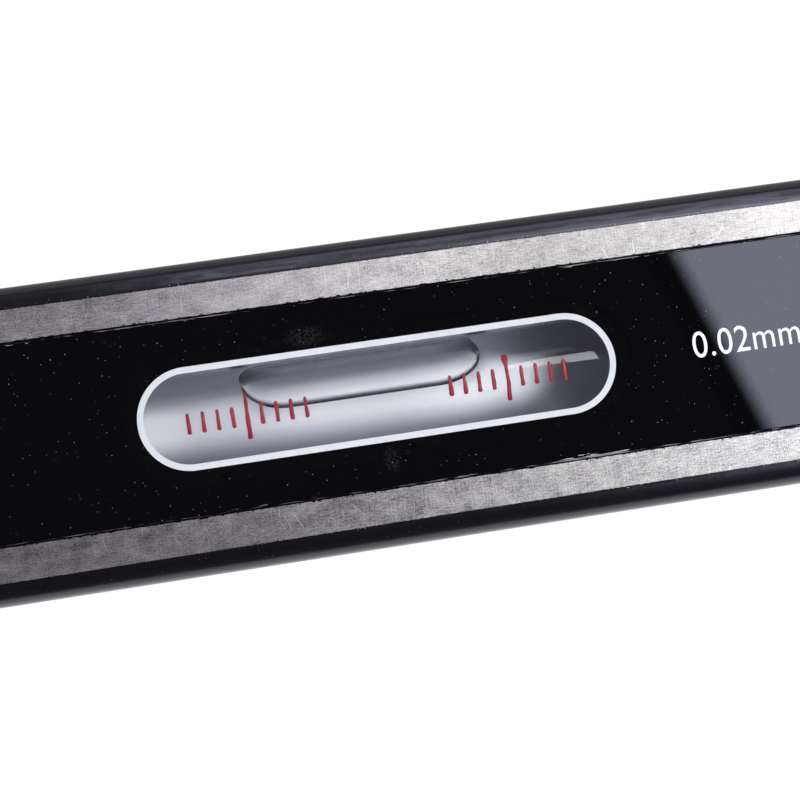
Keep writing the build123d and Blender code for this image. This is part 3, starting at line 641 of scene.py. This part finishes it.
waver = by_hand(700, 3.7, g["Seed"], 1.0)
drift = by_hand(500, 5.1, g["Seed"] + 9, 0.0)
blob = (abs(mark - g["Blob mark"]) < 0.5) * along.ease(0.5, 0.8)
width = g["Width"] * 0.5 * (1 - along * 0.16 + waver * 0.8 + blob * 0.8) * round_end
lift = g["Height"] * (1 + waver) * round_end
angle = along * half / g["Glass radius"] + g["Roll"]
radius = g["Glass radius"] + kept("up") * lift
place_x = kept("centre") + kept("side") * width + drift * g["Wobble"]
wrapped = start.make("ShaderNodeCombineXYZ", None, {
    "X": place_x,
    "Y": radius * angle.apply("SINE"),
    "Z": g["Axis height"] + radius * angle.apply("COSINE")})
strokes = start.make("GeometryNodeSetPosition", None, {"Geometry": strokes, "Position": wrapped})
strokes = start.make("GeometryNodeSetShadeSmooth", None, {"Geometry": strokes})
strokes = start.make("GeometryNodeSetMaterial", None, {"Geometry": strokes, "Material": g["Enamel"]})
start.make("NodeGroupOutput", None, {0: strokes})

main_marks = {
    "Pitch": 2.0 * MM, "Group offset": 18.0 * MM, "Marks in a group": 9.0, "Groups": 2.0,
    "Short": 2.92 * MM, "Long": 6.7 * MM, "Width": 0.55 * MM, "Height": 0.10 * MM,
    "Glass radius": VIAL_R * MM, "Axis height": AXIS * MM, "Roll": math.radians(-4.0),
    "Wobble": 0.16 * MM, "Seed": 4.0, "Blob mark": 13.0, "Enamel": red_enamel}


def tidy_strokes(mesh):
    """Turns every face outward and drops the working attributes."""
    shape = bmesh.new()
    shape.from_mesh(mesh)
    bmesh.ops.recalc_face_normals(shape, faces=shape.faces)
    shape.to_mesh(mesh)
    shape.free()
    for name in ("centre", "half_length", "mark", "side", "up", "along"):
        if name in mesh.attributes:
            mesh.attributes.remove(mesh.attributes[name])
    return mesh


stroke_mesh = tidy_strokes(grown("main_vial_marks", stroke_tree, stroke_ids, main_marks))
add_piece("main_vial_marks", stroke_mesh, "vial_carriage", "red_paint", stands_for=("main_graduations",))


# The cross vial
# A short vial across the bar near its left end, bedded in an aluminium block that two screws hold
# down. It is made as the main vial is.
CROSS_X, CROSS_AXIS, CROSS_R = -75.5, 36.2, 4.0
CROSS_BORE, CROSS_HALF, CROSS_FILL = 3.0, 10.0, 8.0
aluminium = metal("milled_aluminium", (0.55, 0.55, 0.56), (0.80, 0.80, 0.81), 0.32, stretch=6)
dress(aluminium, "cross_block")
dress(screw_steel, "cross_block_screws")
across_bar = Matrix.Translation((CROSS_X * MM, 0, 0)) @ Matrix.Rotation(math.pi / 2, 4, "Z")


def laid_across(mesh):
    mesh.transform(across_bar)
    return mesh


cross_tube = glass_tube("cross_vial_tube", CROSS_HALF, CROSS_R, CROSS_BORE, CROSS_AXIS, lip=0.3)
add_piece("cross_vial_tube", laid_across(cross_tube), "bar", "vial_glass", vial_glass, wet_wall,
          stands_for=("cross_vial",))
cross_fill = laid_across(spirit_fill("cross_vial_spirit", CROSS_FILL, CROSS_BORE, CROSS_AXIS))
add_piece("cross_vial_spirit", cross_fill, "bar", "spirit", spirit_clear, stands_for=("cross_spirit",))
cross_gas = bubble("cross_bubble_gas", ends=(-3.8, 3.8), edges=(-48.0, 48.0), tips=(0, 0),
                   caps=((1.9, 1.9), (1.9, 1.9)), rim=0.6, top_r=2.9, axis_height=CROSS_AXIS,
                   rim_reach=1.5)
add_piece("cross_bubble_gas", laid_across(cross_gas), "cross_bubble", "bubble", bubble_gas,
          stands_for=("cross_bubble",))
cross_marks = {
    "Pitch": 2.0 * MM, "Group offset": 4.2 * MM, "Marks in a group": 1.0, "Groups": 2.0,
    "Short": 4.0 * MM, "Long": 4.0 * MM, "Width": 0.5 * MM, "Height": 0.09 * MM,
    "Glass radius": CROSS_R * MM, "Axis height": CROSS_AXIS * MM, "Roll": 0.0,
    "Wobble": 0.1 * MM, "Seed": 2.0, "Blob mark": -1.0, "Enamel": red_enamel}
cross_strokes = tidy_strokes(grown("cross_vial_marks", stroke_tree, stroke_ids, cross_marks))
cross_strokes = laid_across(cross_strokes)
add_piece("cross_vial_marks", cross_strokes, "bar", "red_paint", stands_for=("cross_graduations",))


# The cover
# A clear acrylic plate with sawn and chamfered edges. Its back is printed with a white line round the
# window, then black except at the two windows, and its face with white numerals. A foam gasket seals it.
foam, at = new_finish("gasket_foam")
cells = grain(at, 0.4, detail=2)
skin(at, foam, cells.colour((0.012, 0.012, 0.012), (0.04, 0.04, 0.04)), 0.9, cells * 0.08)
dress(foam, "cover_gasket")

black_ink, at = new_finish("black_ink")
density = grain(at, 3.0, detail=4)
black = density.colour((0.0022, 0.0022, 0.0026), (0.0046, 0.0046, 0.0056))
skin(at, black_ink, black, 0.6 + (density - 0.5) * 0.2, more={"Specular IOR Level": 0.0})
mask_mesh = nodes["printed_mask"].data.copy()
mask_mesh.name = "cover_black_print"
mask_mesh.materials.clear()
shape = bmesh.new()
shape.from_mesh(mask_mesh)
bmesh.ops.remove_doubles(shape, verts=shape.verts, dist=1e-7)
PLATE_BACK, PLATE_FACE, INK_SINK = 41.8, 43.8, 0.015
for vert in shape.verts:
    if vert.co.z > (PLATE_BACK - 0.1) * MM:
        vert.co.z = (PLATE_BACK + INK_SINK) * MM
shape.to_mesh(mask_mesh)
shape.free()
add_piece("cover_black_print", mask_mesh, "bar", "black_print", black_ink, stands_for=("printed_mask",))

white_ink, at = new_finish("white_ink")
weave = grain(at, 0.12, detail=2)
skin(at, white_ink, weave.colour((0.79, 0.815, 0.85), (0.88, 0.90, 0.935)), 0.55 + (weave - 0.5) * 0.2,
     more={"Specular IOR Level": 0.0})
WINDOW_X, WINDOW_R, LINE_R = 25.7, 6.10, 6.95
INK_LOW, INK_HIGH = PLATE_BACK + INK_SINK - 0.005, PLATE_BACK + INK_SINK + 0.02


def window_outline(radius, height, steps=64):
    outline = []
    for k in range(2 * steps):
        a = math.pi * (k + 0.5) / steps - math.pi / 2
        end = WINDOW_X if math.cos(a) > 0 else -WINDOW_X
        outline.append(((end + radius * math.cos(a)) * MM, radius * math.sin(a) * MM, height * MM))
    return outline


line_rings = [window_outline(WINDOW_R, INK_LOW), window_outline(LINE_R, INK_LOW),
              window_outline(LINE_R, INK_HIGH), window_outline(WINDOW_R, INK_HIGH)]
line_mesh = surface("window_white_line", line_rings, closed_along=True)
for face in line_mesh.polygons:
    face.use_smooth = False
add_piece("window_white_line", line_mesh, "bar", "black_print", white_ink)

letters = bpy.data.curves.new("sensitivity_numerals", "FONT")
letters.body = "0.02mm/m"
letters.size = 1.0
letters.extrude = 0.0
letters.space_character = 1.05
holder = bpy.data.objects.new("sensitivity_source", letters)
bpy.context.scene.collection.objects.link(holder)
ready = holder.evaluated_get(bpy.context.evaluated_depsgraph_get())
numerals = bpy.data.meshes.new_from_object(ready)
bpy.data.objects.remove(holder)
numerals.name = "sensitivity_numerals"
NUMERAL_LEFT, NUMERAL_FOOT, NUMERAL_TALL, NUMERAL_WIDE = 43.23, -1.95, 3.61, 20.3
FACE_LOW, FACE_HIGH = PLATE_FACE - 0.01, PLATE_FACE + 0.015
low = Vector([min(v.co[k] for v in numerals.vertices) for k in range(3)])
high = Vector([max(v.co[k] for v in numerals.vertices) for k in range(3)])
stretch = (NUMERAL_WIDE / (high.x - low.x) * MM, NUMERAL_TALL / (high.y - low.y) * MM, 1.0)
for vert in numerals.vertices:
    vert.co = ((vert.co.x - low.x) * stretch[0] + NUMERAL_LEFT * MM,
               (vert.co.y - low.y) * stretch[1] + NUMERAL_FOOT * MM, FACE_HIGH * MM)
shape = bmesh.new()
shape.from_mesh(numerals)
bmesh.ops.remove_doubles(shape, verts=shape.verts, dist=1e-7)
grown_faces = bmesh.ops.extrude_face_region(shape, geom=shape.faces[:])
for item in grown_faces["geom"]:
    if isinstance(item, bmesh.types.BMVert):
        item.co.z = FACE_LOW * MM
bmesh.ops.recalc_face_normals(shape, faces=shape.faces)
shape.to_mesh(numerals)
shape.free()
numerals.materials.clear()

# The ink on the face glows faintly, to look as white as the line behind the plate.
face_ink, at = new_finish("face_ink")
weave = grain(at, 0.12, detail=2)
shine = weave.colour((0.14, 0.14, 0.145), (0.16, 0.16, 0.165))
skin(at, face_ink, weave.colour((0.89, 0.90, 0.91), (0.95, 0.96, 0.97)), 0.5 + (weave - 0.5) * 0.2,
     more={"Emission Color": shine, "Emission Strength": 1.0})
add_piece("sensitivity_numerals", numerals, "bar", "black_print", face_ink)

# Dust, lint and two smudges lie on the face. The sawn edges are chipped and frosted in places.
ACRYLIC, FACE_FROM, CLEAR_MARGIN = 1.49, PLATE_FACE - 0.1, 2.1
SAWN_Y, SAWN_X = 13.02, 91.72
acrylic, at = new_finish("cover_acrylic")
x, y, z = [part * 1000 for part in at.split()]
on_face = z > FACE_FROM
over_window = (abs(y) < 6.6) * (abs(x) < 32.3)
fine_dust = over_window * grain(at, 0.14, shift=15).ease(0.755, 0.765)
dust = grain(at, 0.22, detail=0, shift=2).ease(0.845, 0.86).most(fine_dust)
lint = grain(at, 0.42, 0.5, detail=2, shift=15).ease(0.69, 0.75) * over_window
lint = lint * (0.25 + x.ease(6.0, 22.0) * 0.75)
smudge = grain(at, 3.0, 2.0, detail=5, shift=6).ease(0.66, 0.86) * 0.5
for left, back, wide, deep in ((-8.9, 8.6, 3.4, 1.7), (0.1, -9.4, 1.3, 2.2)):
    off_x, off_y = (x - left) / wide, (y - back) / deep
    smudge = smudge.most(1 - (off_x * off_x + off_y * off_y).ease(0.1, 1.0))
smudge = smudge * grain(at, 0.35, detail=3, shift=33).ease(0.42, 0.62)
soiled = (dust * 0.7 + lint * 0.16 + smudge * 0.03) * on_face
knocked = (y < 0) * x.ease(20, 25) * (1 - x.ease(31, 36))
knocked = knocked * grain(at, 2.6, 0.25, detail=5, shift=14).ease(0.44, 0.54)
chip = grain(at, 2.4, 0.5, detail=3, shift=12).ease(0.58, 0.68) * 0.2 + knocked * 0.28
sawn = (abs(y) > SAWN_Y - chip).most(abs(x) > SAWN_X - chip)
ragged = grain(at, 2.8, 0.2, detail=4, shift=8).ease(0.5, 0.64)
ragged = (ragged * (1 - (y < 0) * (1 - x.ease(-10, 10)) * 0.6)).most(knocked)

# Away from the windows only black print lies behind the face. The plate is drawn as black gloss there.
past_end = (abs(x) - WINDOW_X).most(0.0)
clear_window = past_end * past_end + y * y < (LINE_R + CLEAR_MARGIN) ** 2
clear_cross = (abs(x - CROSS_X) < 5.2) * (abs(y) < 8.7)
printed = (1 - clear_window.most(clear_cross)) * on_face
pane = at.make("ShaderNodeBsdfGlass", None, {"Color": (1, 1, 1, 1), "Roughness": 0.0, "IOR": ACRYLIC})
print_black = at.make("ShaderNodeBsdfDiffuse", None, {"Color": (0.0034, 0.0034, 0.0041, 1)})
mirror = at.make("ShaderNodeBsdfGlossy", None, {"Color": (1, 1, 1, 1), "Roughness": 0.0})
fresnel = at.make("ShaderNodeFresnel", None, {"IOR": ACRYLIC})
backed = at.make("ShaderNodeMixShader", None, {0: fresnel, 1: print_black, 2: mirror})
pane = at.make("ShaderNodeMixShader", None, {0: printed, 1: pane, 2: backed})
speck = at.make("ShaderNodeBsdfDiffuse", None, {"Color": (0.55, 0.56, 0.60, 1)})
dull = at.make("ShaderNodeBsdfDiffuse", None, {"Color": (0.012, 0.012, 0.013, 1)})
frost = at.make("ShaderNodeBsdfDiffuse", None, {"Color": (0.60, 0.59, 0.59, 1)})
frost = at.make("ShaderNodeMixShader", None, {0: ragged, 1: dull, 2: frost})
pane = at.make("ShaderNodeMixShader", None, {0: soiled, 1: pane, 2: speck})
pane = at.make("ShaderNodeMixShader", None, {0: sawn, 1: pane, 2: frost})
lit_through(at, pane, (0.97, 0.97, 0.975))
dress(acrylic, "cover_plate")
dress(screw_steel, "cover_screws")


# The adjuster's cap
# A slotted nickel plated cap in a turned ring, let into the cover over the adjusting screw.
nickel = metal("bright_nickel", (0.38, 0.365, 0.345), (0.54, 0.525, 0.50), 0.52)
dress(nickel, "cap_ring", "adjuster_cap")


# The grips
# Two ribbed plates of black moulded plastic that keep the heat of the hand off the iron, each held
# by two slotted screws.
grip_plastic, at = new_finish("grip_plastic")
pebble = grain(at, 0.25, detail=2)
wear = grain(at, 9.0, 4.0, detail=4, shift=3)
skin(at, grip_plastic, wear.colour((0.014, 0.014, 0.015), (0.032, 0.032, 0.034)),
     0.46 + (wear - 0.5) * 0.3, pebble * 0.02)
dress(grip_plastic, "front_grip", "rear_grip")
dress(screw_steel, "grip_screws")


# The studio
# White paper on the table with a light board before and behind the bar, a round back light, a wide
# right hand panel, dimmer ones at the back and a weak fill from the left. Overhead the room is dark.
def stage_plane(name, corners, material):
    mesh = bpy.data.meshes.new(name)
    mesh.from_pydata([Vector(corner) * MM for corner in corners], [], [range(len(corners))])
    mesh.materials.append(material)
    plane = bpy.data.objects.new(name, mesh)
    bpy.context.scene.collection.objects.link(plane)
    plane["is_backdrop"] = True
    return plane


paper, at = new_finish("white_paper")
tooth = grain(at, 2.0, detail=2)
white = tooth.colour((0.93, 0.93, 0.93), (0.97, 0.97, 0.97))
links = {"Base Color": white, "Roughness": 0.9, "Specular IOR Level": 0.1}
lit = at.make("ShaderNodeBsdfPrincipled", None, links)
glow = at.make("ShaderNodeEmission", None, {"Color": (1, 1, 1, 1), "Strength": 1.05})
path = at.make("ShaderNodeLightPath").socket.node.outputs
seen = Reading(at.tree, path["Is Camera Ray"]).most(Reading(at.tree, path["Is Glossy Ray"]))
seen = seen.most(Reading(at.tree, path["Is Transmission Ray"]))
sheet = at.make("ShaderNodeMixShader", None, {0: seen * 0.92, 1: lit, 2: glow})
from_below = at.make("ShaderNodeNewGeometry", out="Backfacing")
nothing = at.make("ShaderNodeBsdfTransparent", None, {"Color": (1, 1, 1, 1)})
sheet = at.make("ShaderNodeMixShader", None, {0: from_below, 1: sheet, 2: nothing})
at.make("ShaderNodeOutputMaterial", None, {"Surface": sheet})
FLOOR, UNDER, BOARD_HIGH = 6000, -0.02, 1


def lying_flat(left, right, near, far, height):
    """The corners of a sheet that lies flat, in millimetres."""
    return [(left, near, height), (right, near, height), (right, far, height), (left, far, height)]


stage_plane("table_paper", lying_flat(-FLOOR, FLOOR, -FLOOR, FLOOR, UNDER), paper)


def cloth_light(name, corners, tint, strength, edge=None):
    """A light panel. edge is a line (x, y, run of x per y, width) over which its left side fades in."""
    material, at = new_finish(name)
    x, y = [part * 1000 for part in at.split()[:2]]
    fabric = 0.97 + (grain(at, 60.0, detail=2) - 0.5) * 0.06
    if edge:
        from_x, from_y, run, fade = edge
        fabric = fabric * (x - from_x - (y - from_y) * run).ease(0.0, fade)
    links = {"Color": fabric.colour((0, 0, 0), tint), "Strength": strength}
    light = at.make("ShaderNodeEmission", None, links)
    at.make("ShaderNodeOutputMaterial", None, {"Surface": light})
    panel = stage_plane(name, corners, material)
    panel.visible_camera = False
    panel.visible_shadow = max(corner[2] for corner in corners) > BOARD_HIGH
    return panel


LIGHT_HIGH, WALL_BACK = 744, 900
COOL, PALE = (0.99, 1.0, 1.06), (0.98, 1.0, 1.08)


def overhead(*corners):
    return [(x, y, LIGHT_HIGH) for x, y in corners]


def on_wall(low, high):
    return [(-80, WALL_BACK, low), (700, WALL_BACK, low), (700, WALL_BACK, high), (-80, WALL_BACK, high)]


cloth_light("right_panel", overhead((225, 112), (450, 112), (450, -380), (395, -380)),
            (0.93, 1.0, 1.26), 4.2, edge=(268.0, 24.1, -0.3487, 15.0))
cloth_light("right_far", overhead((450, 112), (900, 112), (900, -380), (450, -380)),
            (1.0, 0.99, 0.98), 6.0)
round_light = overhead((184, 116), (163, 149), (147, 209), (150, 300), (180, 384), (450, 384), (450, 116))
cloth_light("back_panel", round_light, (0.99, 1.0, 1.05), 8.0)
cloth_light("back_scrim", overhead((-60, 170), (140, 170), (140, 320), (300, 860), (-60, 860)),
            COOL, 1.1, edge=(-60, 0, 0, 60))
cloth_light("back_wall", on_wall(540, 900), PALE, 1.7, edge=(-80, 0, 0, 70))
cloth_light("back_strip", on_wall(430, 540), PALE, 3.5, edge=(-80, 0, 0, 70))
left_side = [(-700, -500, 350), (-700, 500, 350), (-500, 500, 800), (-500, -500, 800)]
cloth_light("left_fill", left_side, (1.0, 0.98, 0.98), 1.6)
cloth_light("front_board", lying_flat(-600, 600, -800, -40, BOARD_HIGH), (1.0, 1.0, 1.04), 1.5)
cloth_light("back_board", lying_flat(-600, 600, 40, 800, BOARD_HIGH), (1.0, 1.0, 1.04), 0.55)

world = bpy.data.worlds.new("studio")
bpy.context.scene.world = world
world.use_nodes = True
world.node_tree.nodes.clear()
sky = Reading(world.node_tree).make("ShaderNodeTexCoord", out="Generated")
back, up = sky.split()[1:]
seen = sky.make("ShaderNodeLightPath", out="Is Camera Ray")
haze = up.ease(0.1, 0.2) * (1 - up.ease(0.5, 0.75)) * (0.06 + back.ease(-0.2, 0.3) * 0.07)
dim = (1 - up.ease(0.02, 0.14)) * 0.95 + 0.02 + haze
shown = sky.make("ShaderNodeBackground", None, {"Color": seen.most(dim).colour((0, 0, 0), (1, 1, 1))})
sky.make("ShaderNodeOutputWorld", None, {"Surface": shown})

scene = bpy.context.scene
scene.view_settings.view_transform = "Standard"
scene.cycles.max_bounces = 32
scene.cycles.transmission_bounces = 28
scene.cycles.glossy_bounces = 8
scene.cycles.transparent_max_bounces = 32


# The camera
# A short telephoto lens from above, as the photo was taken. Its place and turn are a fit to the photo.
CAMERA_AT = (-21.68, -17.372, 266.974)
RIGHT = (0.98371, -0.15232, 0.09548)
UP = (0.14437, 0.98583, 0.08537)
AHEAD = (0.10713, 0.07019, -0.99176)
lens = bpy.data.cameras.new("camera")
lens.lens = 75.6
lens.sensor_width = 36.0
lens.shift_x = -0.000625
lens.shift_y = -0.00125
lens.clip_start = 0.01
camera = bpy.data.objects.new("camera", lens)
turn = Matrix((RIGHT, UP, tuple(-c for c in AHEAD))).transposed().to_4x4()
camera.matrix_world = Matrix.Translation(Vector(CAMERA_AT) * MM) @ turn
scene.collection.objects.link(camera)
scene.camera = camera

low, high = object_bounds()
